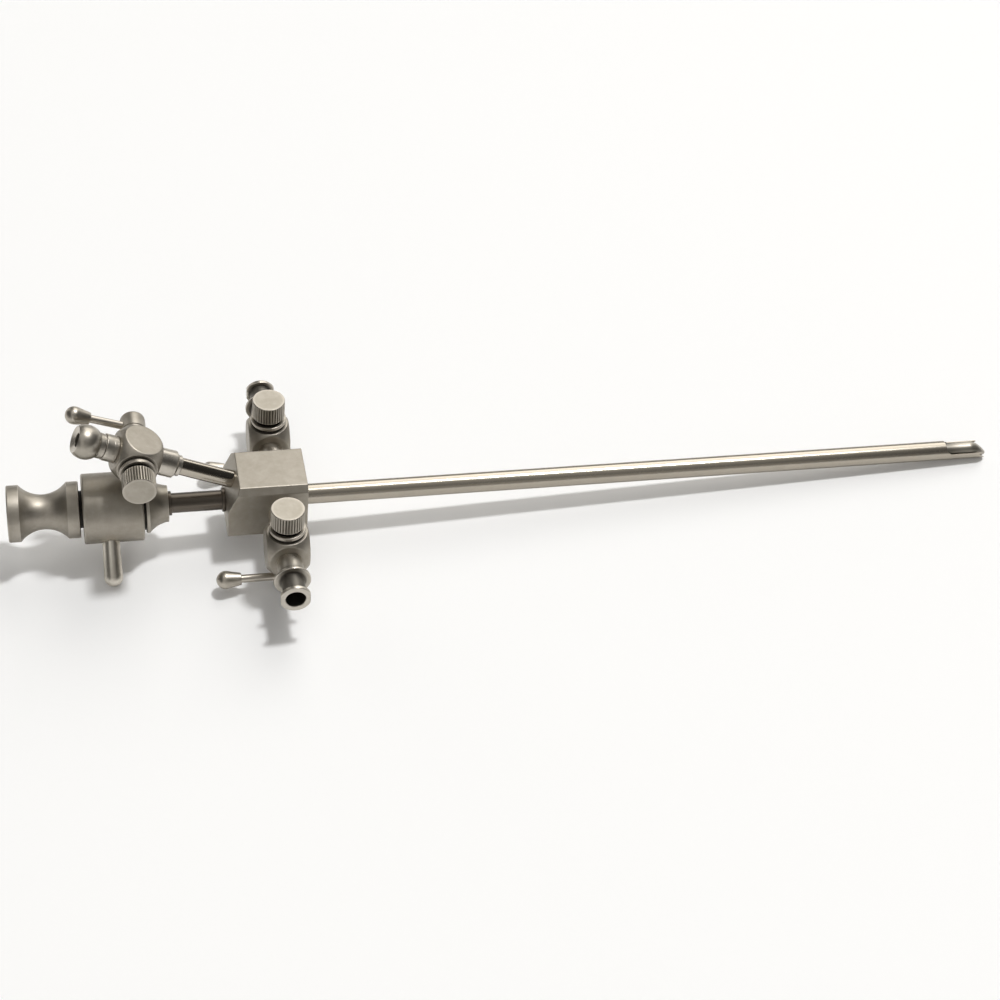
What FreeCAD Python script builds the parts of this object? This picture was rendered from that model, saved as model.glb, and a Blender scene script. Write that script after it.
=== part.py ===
# Cystoscope sheath with its obturator, three stopcocks and a lock ring.
# Millimetres. The x axis is the axis of the long tube and points to the tip.
# The origin is on that axis, where the tube leaves the hub block.
# z points up, y points away from the front stopcock.
import FreeCAD, Part
import math
import os

os.makedirs("parts", exist_ok=True)
V = FreeCAD.Vector

# Clearances
RUN = 0.05              # radial, between a turning or sliding piece and its bore
GAP = 0.30              # between faces that never touch

# Long tube and its beak
TUBE_R = 3.35
TUBE_WALL = 0.40
BORE_R = TUBE_R - TUBE_WALL
WINDOW_X = 223.2        # start of the cut-away
WINDOW_Z = 0.75         # height of the cut edges
HEEL_R = TUBE_R - WINDOW_Z
TOE_X = 239.0           # end of the beak
TUBE_SOCKET = 6.0       # depth of a tube in the block
TUBE_SPIGOT_R = TUBE_R - 0.20   # the long tube is turned down where it is pressed in
PROXIMAL_R = TUBE_R - 0.10

# Hub block
BLOCK_TOP = 12.5
BLOCK_BOTTOM = -8.5
BLOCK_HALF = 10.5
BLOCK_CHAMFER = 2.0
BLOCK_TOP_END = -21.8   # where the slanted face starts
BLOCK_END = -25.6
SLANT_Z = 3.9           # where the slanted face ends

# Proximal tube, its two joint rings and the neck
JOINT_R = PROXIMAL_R + 0.70
JOINT_LEN = 1.1
NECK_END = -43.9
NECK_SMALL_R = 5.9
NECK_MID_X = -47.6
NECK_MID_R = 7.0
NECK_RIM = -50.1
NECK_R = 9.05
NECK_START = -51.2

# Lock ring, the core that it turns on and its lever pin
LOCK_R = 11.3
LOCK_START = -71.0
LOCK_END = -52.0
LOCK_ROUND = 1.0
CORE_R = 8.0
CORE_FLANGE_R = 9.2
CORE_FLANGE = 1.0
CORE_BORE_R = 6.05
CORE_STEP = -58.0       # floor of the wide bore
CORE_TUBE_X = -53.5     # where the proximal tube starts
SEAL_LEN = 2.0
RETAINER_LEN = 1.0
PIN_X = -62.7
PIN_ANGLE = 41.0        # below the horizontal, on the front side
PIN_SWING = 50.0
PIN_ROOT_R = 2.75
PIN_END_R = 2.95
PIN_LENGTH = 25.4       # from the axis to the tip
PIN_SPIGOT_R = 1.5
PIN_RECESS = 0.35

# Obturator
HANDLE_END = -94.4
HANDLE_START = -71.9
FLANGE_R = 9.1
FLANGE_LEN = 3.8
WAIST_R = 5.6
LATCH_R = CORE_BORE_R - RUN
LATCH_END = -60.3
LATCH_GROOVE = 3.2
LATCH_PILOT_R = 4.5
LATCH_PILOT = 5.0
LATCH_GROOVE_R = 5.3
ROD_R = 2.4
TIP_START = 205.0
TIP_R = BORE_R - RUN
TIP_NECK_R = 2.55
TIP_STEP = 222.6

# Stopcock, in its own frame: plug axis z, flow along y, lever along -x
BARREL_R = 9.1
BARREL_END_R = 6.3
FLAT = 6.8
FLAT_TOP = 7.2
FLAT_BOTTOM = 7.0
RIM_R = 5.8
RIM_NECK_R = 5.2
RIM_START = 8.2
RIM_END = 9.4
PLUG_BIG_R = 4.2
PLUG_SMALL_R = 3.5
PLUG_TOP = 8.0
WASHER_R = 4.6
FLOW_R = 1.5
TAIL_R = 2.0
CAP_R = 5.3
CAP_START = RIM_END + 1.0
CAP_END = 17.0
CAP_TEETH = 36
CAP_TOOTH = 0.42
CAP_BREAK = 0.18
BOSS_R = 4.0
BOSS_END = 17.0
BOSS_GROOVE = 10.5
LEVER_Z = 12.7
LEVER_R = 1.28
KNOB_START = 14.3
KNOB_SMALL_R = 1.95
KNOB_R = 2.9
KNOB_X = 19.3
SPIGOT_R = 2.6
SPIGOT_LEN = 2.0

# Side stopcocks and their ports
COCK_X = -8.7
COCK_Y = 25.8
COCK_Z = 2.0
STUB_R = 4.1
STUB_SOCKET = 3.0
PORT_NECK_R = 4.1
PORT_COLLAR_R = 5.8
PORT_COLLAR_Y = 39.8
PORT_COLLAR_LEN = 1.0
PORT_TAIL_R = 3.65
PORT_FLANGE_R = 5.0
PORT_FLANGE_HALF = 4.6
PORT_FLANGE_Y = 47.4
PORT_END_Y = 48.7
PORT_BORE_R = 3.1
PORT_BORE_LEN = 8.0
PORT_MOUTH_R = 3.3
PORT_MOUTH_LEN = 0.25
REAR_REACH = 1.2        # the rear port stands this much farther out

# Working channel
CHANNEL_TILT = 23.7
CHANNEL_LEVER = 20.5    # the photo's lever stands a little short of the flow line
CHANNEL_X = -53.5       # middle of the channel stopcock
CHANNEL_Z = 22.05
CHANNEL_R = 2.85
CHANNEL_SOCKET = 5.0
SLEEVE_R = 4.4
SLEEVE_LEN = 6.4
SLEEVE_CHAMFER = 0.6
SEAT_R = 3.4
SEAT_LEN = 1.5
COUPLING_R = 4.3
COUPLING_LEN = 4.1
COLLET_R = 4.05
COLLET_LEN = 2.7
COUPLING_GROOVE_R = 3.85
COUPLING_GROOVE = 0.4
PORT_BALL_R = 5.5
PORT_BALL_U = 16.7
PORT_FACE_U = 20.2
CHANNEL_BORE_R = 2.2
CHANNEL_BORE_LEN = 6.5


def outline(points):
    """Closed outline from (a, b) points; a triple of points is an arc."""
    edges = []
    last = points[0]
    for item in points[1:] + [points[0]]:
        if len(item) == 2 and isinstance(item[0], tuple):
            mid, end = item
            edges.append(Part.Arc(V(last[0], 0, last[1]), V(mid[0], 0, mid[1]),
                                  V(end[0], 0, end[1])).toShape())
            last = end
        elif abs(item[0] - last[0]) + abs(item[1] - last[1]) > 1e-7:
            edges.append(Part.makeLine(V(last[0], 0, last[1]), V(item[0], 0, item[1])))
            last = item
    return Part.Face(Part.Wire(edges))


def turned(points):
    """Solid turned about x from an outline of (x, radius) points."""
    return outline(points).revolve(V(0, 0, 0), V(1, 0, 0), 360)


def rod(radius, start, end):
    """Cylinder on the x axis."""
    return Part.makeCylinder(radius, end - start, V(start, 0, 0), V(1, 0, 0))


def stand(radius, start, end):
    """Cylinder on the z axis."""
    return Part.makeCylinder(radius, end - start, V(0, 0, start), V(0, 0, 1))


def to_frame(shape, origin, x_axis, y_axis, z_axis):
    """Copy of a shape whose own axes land on the three given ones."""
    matrix = FreeCAD.Matrix(
        x_axis.x, y_axis.x, z_axis.x, origin.x,
        x_axis.y, y_axis.y, z_axis.y, origin.y,
        x_axis.z, y_axis.z, z_axis.z, origin.z,
        0, 0, 0, 1)
    placed = shape.copy()
    placed.Placement = FreeCAD.Placement(matrix)
    return placed


def side_profile():
    """The rounded toe seen from the side, long enough to keep the whole tube."""
    high = TUBE_R + 1
    nose = [(TIP_START - 1, -TUBE_R), (TOE_X - 1.9, -TUBE_R),
            ((TOE_X - 0.55, -TUBE_R + 0.55), (TOE_X, -TUBE_R + 1.7)),
            ((TOE_X - 1.9, 0.9), (TOE_X - 5.6, TIP_NECK_R)),
            (TOE_X - 7.5, high), (TIP_START - 1, high)]
    return outline(nose).extrude(V(0, 2 * high, 0)).translated(V(0, -high, 0))


def plan_profile(radius):
    """The rounded toe seen from above."""
    shoulder = TOE_X - radius
    slope = radius * math.sqrt(0.5)
    nose = [(TIP_START - 1, -radius), (shoulder, -radius), ((shoulder + slope, -slope), (TOE_X, 0)),
            ((shoulder + slope, slope), (shoulder, radius)), (TIP_START - 1, radius)]
    flat = outline(nose)
    flat.rotate(V(0, 0, 0), V(1, 0, 0), -90)
    return flat.extrude(V(0, 0, 3 * radius)).translated(V(0, 0, -1.5 * radius))


def make_sheath_tube():
    tube = rod(TUBE_SPIGOT_R, -TUBE_SOCKET, 0).fuse(rod(TUBE_R, 0, TOE_X))
    tube = tube.cut(rod(BORE_R, -TUBE_SOCKET, TOE_X))
    window = Part.makeBox(TOE_X - WINDOW_X + 1, 2 * TUBE_R, TUBE_R, V(WINDOW_X, -TUBE_R, WINDOW_Z))
    heel = Part.makeCylinder(HEEL_R, 2 * TUBE_R, V(WINDOW_X + HEEL_R, -TUBE_R, WINDOW_Z + HEEL_R), V(0, 1, 0))
    corner = Part.makeBox(HEEL_R, 2 * TUBE_R, HEEL_R, V(WINDOW_X, -TUBE_R, WINDOW_Z)).cut(heel)
    tube = tube.cut(window.cut(corner))
    body = rod(TUBE_R, -TUBE_SOCKET, TIP_START)
    keep = side_profile().common(plan_profile(TUBE_R)).fuse(body)
    return tube.common(keep)


def make_hub_block(channel_axis):
    side = outline([(0, BLOCK_BOTTOM), (0, BLOCK_TOP), (BLOCK_TOP_END, BLOCK_TOP), (BLOCK_END, SLANT_Z),
                    (BLOCK_END, BLOCK_BOTTOM)])
    block = side.extrude(V(0, 2 * BLOCK_HALF, 0)).translated(V(0, -BLOCK_HALF, 0))
    c = BLOCK_CHAMFER
    corners = []
    for y, z, dy, dz in ((1, BLOCK_TOP, 1, 1), (1, BLOCK_BOTTOM, 1, -1), (-1, BLOCK_BOTTOM, -1, -1),
                         (-1, BLOCK_TOP, -1, 1)):
        edge = V(BLOCK_END, y * BLOCK_HALF, z)
        inner = V(BLOCK_END, y * (BLOCK_HALF - c), z)
        lower = V(BLOCK_END, y * BLOCK_HALF, z - dz * c)
        wire = Part.makePolygon([edge, inner, lower, edge])
        corners.append(Part.Face(wire).extrude(V(-BLOCK_END, 0, 0)))
    for corner in corners:
        block = block.cut(corner)
    block = block.cut(rod(TUBE_SPIGOT_R, -TUBE_SOCKET, 0))
    block = block.cut(rod(PROXIMAL_R, BLOCK_END, BLOCK_END + TUBE_SOCKET))
    block = block.cut(rod(BORE_R, BLOCK_END, 0))
    flow = Part.makeCylinder(FLOW_R, 2 * BLOCK_HALF, V(COCK_X, -BLOCK_HALF, COCK_Z), V(0, 1, 0))
    block = block.cut(flow)
    for sign in (1, -1):
        block = block.cut(Part.makeCylinder(SPIGOT_R, STUB_SOCKET, V(COCK_X, sign * BLOCK_HALF, COCK_Z),
                                            V(0, -sign, 0)))
    mouth, inward = channel_axis
    block = block.cut(Part.makeCylinder(CHANNEL_R, CHANNEL_SOCKET + 1, mouth - inward, inward))
    return block.cut(Part.makeCylinder(FLOW_R, mouth.z / abs(inward.z), mouth, inward))


def make_proximal_tube():
    end = BLOCK_END + TUBE_SOCKET
    return rod(PROXIMAL_R, CORE_TUBE_X, end).cut(rod(BORE_R, CORE_TUBE_X, end))


def make_joint_ring(start):
    ring = rod(JOINT_R, start, start + JOINT_LEN).cut(rod(PROXIMAL_R, start, start + JOINT_LEN))
    rims = [e for e in ring.Edges if abs(e.Length - 2 * math.pi * JOINT_R) < 0.01]
    return ring.makeChamfer(0.2, rims)


def make_neck():
    spigot_end = CORE_TUBE_X + TUBE_SOCKET
    points = [(NECK_START, CORE_BORE_R), (NECK_START, NECK_R - 0.2), (NECK_START + 0.2, NECK_R),
              (NECK_RIM, NECK_R),
              ((NECK_MID_X, NECK_MID_R), (NECK_END, NECK_SMALL_R)), (NECK_END, PROXIMAL_R),
              (spigot_end, PROXIMAL_R), (spigot_end, CORE_BORE_R)]
    return turned(points)


def pin_direction(degrees=0.0):
    a = math.radians(PIN_ANGLE + degrees)
    return V(0, -math.cos(a), -math.sin(a))


def make_lock_core():
    spigot_end = CORE_TUBE_X + TUBE_SOCKET
    flange = LOCK_END - 0.1
    points = [(LOCK_START + 0.1, CORE_BORE_R), (LOCK_START + 0.1, CORE_R), (flange - CORE_FLANGE, CORE_R),
              (flange - CORE_FLANGE, CORE_FLANGE_R), (flange, CORE_FLANGE_R), (flange, CORE_R),
              (NECK_START, CORE_R),
              (NECK_START, CORE_BORE_R), (spigot_end, CORE_BORE_R), (spigot_end, PROXIMAL_R),
              (CORE_TUBE_X, PROXIMAL_R),
              (CORE_TUBE_X, BORE_R), (CORE_STEP, BORE_R), (CORE_STEP, CORE_BORE_R)]
    core = turned(points)
    slot = Part.makeCylinder(PIN_SPIGOT_R + GAP, CORE_R + 1, V(PIN_X, 0, 0), pin_direction())
    for step in range(1, 6):
        way = pin_direction(-PIN_SWING * step / 5)
        slot = slot.fuse(Part.makeCylinder(PIN_SPIGOT_R + GAP, CORE_R + 1, V(PIN_X, 0, 0), way))
    return core.cut(slot)


def make_lock_seal():
    points = [(CORE_STEP - SEAL_LEN, BORE_R + RUN), (CORE_STEP - SEAL_LEN, CORE_BORE_R),
              (CORE_STEP, CORE_BORE_R), (CORE_STEP, BORE_R + RUN)]
    return turned(points)


def make_lock_retainer():
    start = LOCK_START + 0.1
    ring = rod(CORE_FLANGE_R, start, start + RETAINER_LEN)
    return ring.cut(rod(CORE_R, start, start + RETAINER_LEN))


def make_lock_ring():
    near = LOCK_START + 0.1 + RETAINER_LEN + RUN
    far = LOCK_END - 0.1 - CORE_FLANGE - RUN
    wide = CORE_FLANGE_R + GAP
    narrow = CORE_R + RUN
    r = LOCK_ROUND
    d = r * (1 - math.sqrt(0.5))
    points = [(LOCK_START, wide), (LOCK_START, LOCK_R - r),
              ((LOCK_START + d, LOCK_R - d), (LOCK_START + r, LOCK_R)),
              (LOCK_END - r, LOCK_R), ((LOCK_END - d, LOCK_R - d), (LOCK_END, LOCK_R - r)),
              (LOCK_END, wide), (far, wide), (far, narrow), (near, narrow), (near, wide)]
    ring = turned(points)
    spigot = Part.makeCylinder(PIN_SPIGOT_R, LOCK_R + 1, V(PIN_X, 0, 0), pin_direction())
    seat = Part.makeCylinder(PIN_ROOT_R + PIN_RECESS, 3, V(PIN_X, 0, 0) + pin_direction() * (LOCK_R - 1.1),
                             pin_direction())
    return ring.cut(spigot).cut(seat)


def make_lock_pin():
    inner = CORE_BORE_R + GAP
    seat = LOCK_R - 1.1
    tip = PIN_LENGTH - PIN_END_R
    d = PIN_END_R * math.sqrt(0.5)
    points = [(inner, 0), (inner, PIN_SPIGOT_R), (seat, PIN_SPIGOT_R), (seat, PIN_ROOT_R), (tip, PIN_END_R),
              ((tip + d, d), (PIN_LENGTH, 0))]
    pin = turned(points)
    out = pin_direction()
    return to_frame(pin, V(PIN_X, 0, 0), out, V(1, 0, 0), out.cross(V(1, 0, 0)))


def make_handle():
    inner_left = HANDLE_END + FLANGE_LEN
    inner_right = HANDLE_START - FLANGE_LEN
    r = 0.4
    points = [(HANDLE_END, 0), (HANDLE_END, FLANGE_R - r), (HANDLE_END + r, FLANGE_R), (inner_left, FLANGE_R),
              (((inner_left + inner_right) / 2, WAIST_R), (inner_right, FLANGE_R)),
              (HANDLE_START - r, FLANGE_R),
              (HANDLE_START, FLANGE_R - r), (HANDLE_START, LATCH_PILOT_R),
              (HANDLE_START - LATCH_PILOT, LATCH_PILOT_R), (HANDLE_START - LATCH_PILOT, 0)]
    return turned(points)


def make_latch():
    near = PIN_X - LATCH_GROOVE / 2
    far = PIN_X + LATCH_GROOVE / 2
    depth = HANDLE_START - LATCH_PILOT
    points = [(depth, ROD_R), (depth, LATCH_PILOT_R), (HANDLE_START, LATCH_PILOT_R),
              (HANDLE_START, LATCH_R), (near, LATCH_R),
              (near, LATCH_GROOVE_R), (far, LATCH_GROOVE_R), (far, LATCH_R), (LATCH_END, LATCH_R),
              (LATCH_END, ROD_R)]
    return turned(points)


def make_obturator_rod():
    return rod(ROD_R, HANDLE_START - LATCH_PILOT, TIP_START + 6)


def make_obturator_tip():
    points = [(TIP_START, ROD_R), (TIP_START, TIP_R - 0.3), (TIP_START + 0.6, TIP_R),
              (TIP_STEP - 0.4, TIP_R), (TIP_STEP, TIP_NECK_R),
              (TOE_X, TIP_NECK_R), (TOE_X, 0), (TIP_START + 6, 0), (TIP_START + 6, ROD_R)]
    tip = turned(points)
    return tip.common(side_profile()).common(plan_profile(TIP_R))


def make_cock_body():
    barrel = turned([(-FLAT_BOTTOM, 0), (-FLAT_BOTTOM, BARREL_END_R),
                     ((0, BARREL_R), (FLAT_TOP, BARREL_END_R)), (FLAT_TOP, 0)])
    barrel = to_frame(barrel, V(0, 0, 0), V(0, 0, 1), V(1, 0, 0), V(0, 1, 0))
    box = Part.makeBox(2 * FLAT, 2 * FLAT, FLAT_TOP + FLAT_BOTTOM, V(-FLAT, -FLAT, -FLAT_BOTTOM))
    body = barrel.common(box)
    body = body.fuse(stand(RIM_NECK_R, 0, RIM_START + 0.1)).fuse(stand(RIM_R, RIM_START, RIM_END))
    body = body.cut(stand(WASHER_R, PLUG_TOP, RIM_END))
    length = PLUG_TOP + FLAT_BOTTOM
    cone = Part.makeCone(PLUG_BIG_R, PLUG_SMALL_R, length, V(0, 0, -FLAT_BOTTOM), V(0, 0, 1))
    body = body.cut(cone)
    body = body.cut(Part.makeCylinder(FLOW_R, 2 * FLAT, V(0, -FLAT, 0), V(0, 1, 0)))
    for sign in (1, -1):
        body = body.cut(Part.makeCylinder(SPIGOT_R, SPIGOT_LEN, V(0, sign * FLAT, 0), V(0, -sign, 0)))
    return body


def make_plug():
    top = PLUG_TOP - RUN
    points = [(-BOSS_END, 0), (-BOSS_END, BOSS_R - 1.4),
              ((-BOSS_END + 0.41, BOSS_R - 0.41), (-BOSS_END + 1.4, BOSS_R)),
              (-BOSS_GROOVE - 0.25, BOSS_R), (-BOSS_GROOVE, BOSS_R - 0.3), (-BOSS_GROOVE + 0.25, BOSS_R),
              (-FLAT_BOTTOM, BOSS_R), (-FLAT_BOTTOM, PLUG_BIG_R - RUN), (top, PLUG_SMALL_R - RUN),
              (top, TAIL_R),
              (CAP_END - 2, TAIL_R), (CAP_END - 2, 0)]
    plug = turned(points)
    plug = to_frame(plug, V(0, 0, 0), V(0, 0, 1), V(1, 0, 0), V(0, 1, 0))
    plug = plug.cut(rod(FLOW_R, -PLUG_BIG_R, PLUG_BIG_R))
    return plug.cut(Part.makeCylinder(LEVER_R, BOSS_R + 1, V(-1, 0, -LEVER_Z), V(-1, 0, 0)))


def make_lever():
    return Part.makeCylinder(LEVER_R, KNOB_START + 2, V(-1, 0, -LEVER_Z), V(-1, 0, 0))


def make_knob():
    reach = KNOB_START + 3
    slope = (KNOB_R - KNOB_SMALL_R) / (KNOB_X - KNOB_START)
    along = KNOB_R * math.sin(math.atan(slope))
    high = KNOB_R * math.cos(math.atan(slope))
    d = KNOB_R * math.sqrt(0.5)
    points = [(KNOB_START, LEVER_R), (KNOB_START, KNOB_SMALL_R - 0.25), (KNOB_START + 0.25, KNOB_SMALL_R),
              (KNOB_X - along, high),
              ((KNOB_X + d, d), (KNOB_X + KNOB_R, 0)), (reach, 0), (reach, LEVER_R)]
    knob = turned(points)
    return to_frame(knob, V(0, 0, -LEVER_Z), V(-1, 0, 0), V(0, -1, 0), V(0, 0, 1))


def make_cap():
    """Knurled cap: a toothed middle between two plain rims."""
    points = []
    for i in range(CAP_TEETH):
        for part, radius in ((0.0, CAP_R), (0.45, CAP_R), (0.72, CAP_R - CAP_TOOTH)):
            a = 2 * math.pi * (i + part) / CAP_TEETH
            points.append(V(radius * math.cos(a), radius * math.sin(a), CAP_START + 0.4))
    height = CAP_END - CAP_START - 0.4 - CAP_BREAK
    teeth = Part.Face(Part.makePolygon(points + [points[0]])).extrude(V(0, 0, height))
    low = stand(CAP_R - CAP_TOOTH, CAP_START, CAP_START + 0.4)
    top = CAP_END - CAP_BREAK
    high = Part.makeCone(CAP_R - 0.05, CAP_R - 0.05 - CAP_BREAK, CAP_BREAK, V(0, 0, top), V(0, 0, 1))
    cap = teeth.fuse(low).fuse(high)
    return cap.cut(stand(TAIL_R, CAP_START, CAP_END - 2))


def make_washer():
    return stand(WASHER_R - GAP, PLUG_TOP + RUN, CAP_START).cut(stand(TAIL_R, PLUG_TOP + RUN, CAP_START))


def make_stub():
    start = BLOCK_HALF - STUB_SOCKET
    flat = COCK_Y - FLAT
    points = [(start, FLOW_R), (start, SPIGOT_R), (BLOCK_HALF, SPIGOT_R), (BLOCK_HALF, STUB_R),
              (flat, STUB_R),
              (flat, SPIGOT_R), (flat + SPIGOT_LEN, SPIGOT_R), (flat + SPIGOT_LEN, FLOW_R)]
    return turned(points)


def make_port(longer):
    """Port with its neck made longer by the given length."""
    flat = COCK_Y + FLAT
    collar = PORT_COLLAR_Y + longer
    flange = PORT_FLANGE_Y + longer
    end = PORT_END_Y + longer
    points = [(flat - SPIGOT_LEN, FLOW_R), (flat - SPIGOT_LEN, SPIGOT_R), (flat, SPIGOT_R),
              (flat, PORT_NECK_R), (collar, PORT_NECK_R),
              (collar, PORT_COLLAR_R - 0.25), (collar + 0.25, PORT_COLLAR_R),
              (collar + PORT_COLLAR_LEN - 0.25, PORT_COLLAR_R),
              (collar + PORT_COLLAR_LEN, PORT_COLLAR_R - 0.25), (collar + PORT_COLLAR_LEN, PORT_TAIL_R),
              (flange, PORT_TAIL_R),
              (flange, PORT_FLANGE_R - 0.2), (flange + 0.2, PORT_FLANGE_R), (end - 0.2, PORT_FLANGE_R),
              (end, PORT_FLANGE_R - 0.2), (end, PORT_MOUTH_R), (end - PORT_MOUTH_LEN, PORT_BORE_R),
              (end - PORT_MOUTH_LEN - PORT_BORE_LEN, PORT_BORE_R),
              (end - PORT_MOUTH_LEN - PORT_BORE_LEN, FLOW_R)]
    port = turned(points)
    for sign in (1, -1):
        side = Part.makeBox(4, 2, 12, V(flange - 0.5, sign * PORT_FLANGE_HALF - (2 if sign < 0 else 0), -6))
        port = port.cut(side)
    return port


def side_part(shape, sign):
    """Piece built along x, put on the flow line of a side stopcock."""
    return to_frame(shape, V(COCK_X, 0, COCK_Z), V(0, sign, 0), V(-sign, 0, 0), V(0, 0, 1))


def make_channel_tube(length):
    start = -FLAT - SLEEVE_LEN - SEAT_LEN + 1.0
    return rod(CHANNEL_R, -length, start).cut(rod(FLOW_R, -length, start))


def make_channel_seat():
    end = -FLAT - SLEEVE_LEN
    points = [(end - SEAT_LEN, CHANNEL_R), (end - SEAT_LEN, SEAT_R - 0.2), (end - SEAT_LEN + 0.2, SEAT_R),
              (end, SEAT_R), (end, CHANNEL_R)]
    return turned(points)


def make_channel_sleeve():
    left = -FLAT
    right = -FLAT - SLEEVE_LEN
    tube = right - SEAT_LEN + 1.0
    points = [(right, CHANNEL_R), (right, SLEEVE_R - SLEEVE_CHAMFER), (right + SLEEVE_CHAMFER, SLEEVE_R),
              (left, SLEEVE_R),
              (left, SPIGOT_R), (left + SPIGOT_LEN, SPIGOT_R), (left + SPIGOT_LEN, FLOW_R), (tube, FLOW_R),
              (tube, CHANNEL_R)]
    return turned(points)


def make_channel_coupling():
    start = FLAT
    groove = start + COUPLING_LEN
    end = groove + COUPLING_GROOVE
    points = [(start - SPIGOT_LEN, FLOW_R), (start - SPIGOT_LEN, SPIGOT_R), (start, SPIGOT_R),
              (start, COUPLING_R - 0.25),
              (start + 0.25, COUPLING_R), (groove - 0.2, COUPLING_R), (groove, COUPLING_R - 0.2),
              (groove, COUPLING_GROOVE_R),
              (end, COUPLING_GROOVE_R), (end, SPIGOT_R), (end + 1.2, SPIGOT_R), (end + 1.2, FLOW_R)]
    return turned(points)


def make_channel_port():
    start = FLAT + COUPLING_LEN + COUPLING_GROOVE
    join = math.sqrt(PORT_BALL_R ** 2 - COLLET_R ** 2)
    face = PORT_FACE_U - PORT_BALL_U
    rim = math.sqrt(PORT_BALL_R ** 2 - face ** 2)
    end = PORT_FACE_U
    points = [(start, SPIGOT_R), (start, COLLET_R - 0.2), (start + 0.2, COLLET_R),
              (PORT_BALL_U - join, COLLET_R),
              ((PORT_BALL_U, PORT_BALL_R), (end, rim)), (end - 0.8, CHANNEL_BORE_R),
              (end - 0.8 - CHANNEL_BORE_LEN, CHANNEL_BORE_R),
              (end - 0.8 - CHANNEL_BORE_LEN, FLOW_R), (start + 1.2, FLOW_R), (start + 1.2, SPIGOT_R)]
    return turned(points)


def save(shape, name):
    solids = shape.Solids
    if len(solids) != 1:
        raise ValueError(name + " has " + str(len(solids)) + " solids")
    shape = solids[0].removeSplitter() if hasattr(solids[0], "removeSplitter") else solids[0]
    shape.exportStep("parts/" + name + ".step")
    print(name, round(shape.Volume, 1), shape.isValid())


tilt = math.radians(CHANNEL_TILT)
UP_CHANNEL = V(-math.cos(tilt), 0, math.sin(tilt))
ACROSS = V(math.sin(tilt), 0, math.cos(tilt))
CENTRE = V(CHANNEL_X, 0, CHANNEL_Z)
slant = V(BLOCK_TOP_END - BLOCK_END, 0, BLOCK_TOP - SLANT_Z)
normal = V(-slant.z, 0, slant.x).normalize()
reach = (V(BLOCK_END, 0, SLANT_Z) - CENTRE).dot(normal) / UP_CHANNEL.dot(normal)
MOUTH = CENTRE + UP_CHANNEL * reach


def channel_part(shape):
    """Piece built along x, put on the channel line."""
    return to_frame(shape, CENTRE, UP_CHANNEL, V(0, -1, 0), UP_CHANNEL.cross(V(0, -1, 0)))


save(make_sheath_tube(), "sheath_tube")
save(make_hub_block((MOUTH, UP_CHANNEL * -1)), "hub_block")
save(make_proximal_tube(), "proximal_tube")
save(make_joint_ring(NECK_END), "neck_joint_ring")
save(make_joint_ring(BLOCK_END - JOINT_LEN), "block_joint_ring")
save(make_neck(), "lock_neck")
save(make_lock_core(), "lock_core")
save(make_lock_seal(), "lock_seal")
save(make_lock_retainer(), "lock_retainer")
save(make_lock_ring(), "lock_ring")
save(make_lock_pin(), "lock_pin")

save(make_handle(), "obturator_handle")
save(make_latch(), "obturator_latch")
save(make_obturator_rod(), "obturator_rod")
save(make_obturator_tip(), "obturator_tip")

plug_pieces = [("plug", make_plug()), ("lever", make_lever()), ("knob", make_knob()), ("cap", make_cap()),
               ("washer", make_washer())]
for side, sign in (("front", -1), ("rear", 1)):
    place = V(COCK_X, sign * COCK_Y, COCK_Z)
    save(make_cock_body().translated(place), side + "_cock_body")
    save(side_part(make_stub(), sign), side + "_stub")
    save(side_part(make_port(REAR_REACH if sign > 0 else 0.0), sign), side + "_port")
    for name, piece in plug_pieces:
        save(piece.translated(place), side + "_" + name)

save(channel_part(make_channel_tube(-reach + CHANNEL_SOCKET)), "channel_tube")
save(channel_part(make_channel_seat()), "channel_seat_ring")
save(channel_part(make_channel_sleeve()), "channel_sleeve")
save(to_frame(make_cock_body(), CENTRE, ACROSS, UP_CHANNEL, V(0, -1, 0)), "channel_cock_body")
save(channel_part(make_channel_coupling()), "channel_coupling")
save(channel_part(make_channel_port()), "channel_port")
for name, piece in plug_pieces:
    turned_piece = piece.copy()
    turned_piece.rotate(V(0, 0, 0), V(0, 0, 1), -90 + CHANNEL_TILT - CHANNEL_LEVER)
    holder = Part.makeCompound([turned_piece])
    save(to_frame(holder, CENTRE, ACROSS, UP_CHANNEL, V(0, -1, 0)), "channel_" + name)
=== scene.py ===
# %% [markdown]
# # A cystoscope sheath, dressed for the camera
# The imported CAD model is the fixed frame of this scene. It says where every piece is and which body carries
# it. Nearly every piece of the real instrument was turned on a lathe, so most cells below describe an
# outline and spin it. The CAD pieces are made of loose flat triangles. Satin steel shows each of them, so
# the visible pieces get smooth skins.

# %% Load the frame
import math

import bmesh
import bpy
import numpy as np
from mathutils import Matrix


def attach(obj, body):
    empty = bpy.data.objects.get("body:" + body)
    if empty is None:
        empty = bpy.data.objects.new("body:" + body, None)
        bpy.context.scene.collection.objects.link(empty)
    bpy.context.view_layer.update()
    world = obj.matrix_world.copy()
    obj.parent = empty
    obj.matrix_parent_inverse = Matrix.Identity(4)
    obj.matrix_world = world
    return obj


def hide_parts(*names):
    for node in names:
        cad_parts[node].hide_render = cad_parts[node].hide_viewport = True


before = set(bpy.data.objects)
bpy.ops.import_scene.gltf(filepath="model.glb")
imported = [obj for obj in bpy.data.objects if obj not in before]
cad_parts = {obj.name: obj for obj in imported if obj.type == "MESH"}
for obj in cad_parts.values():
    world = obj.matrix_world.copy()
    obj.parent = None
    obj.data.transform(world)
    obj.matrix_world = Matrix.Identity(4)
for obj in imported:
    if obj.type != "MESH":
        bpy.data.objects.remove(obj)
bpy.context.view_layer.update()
MM = 0.001

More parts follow.
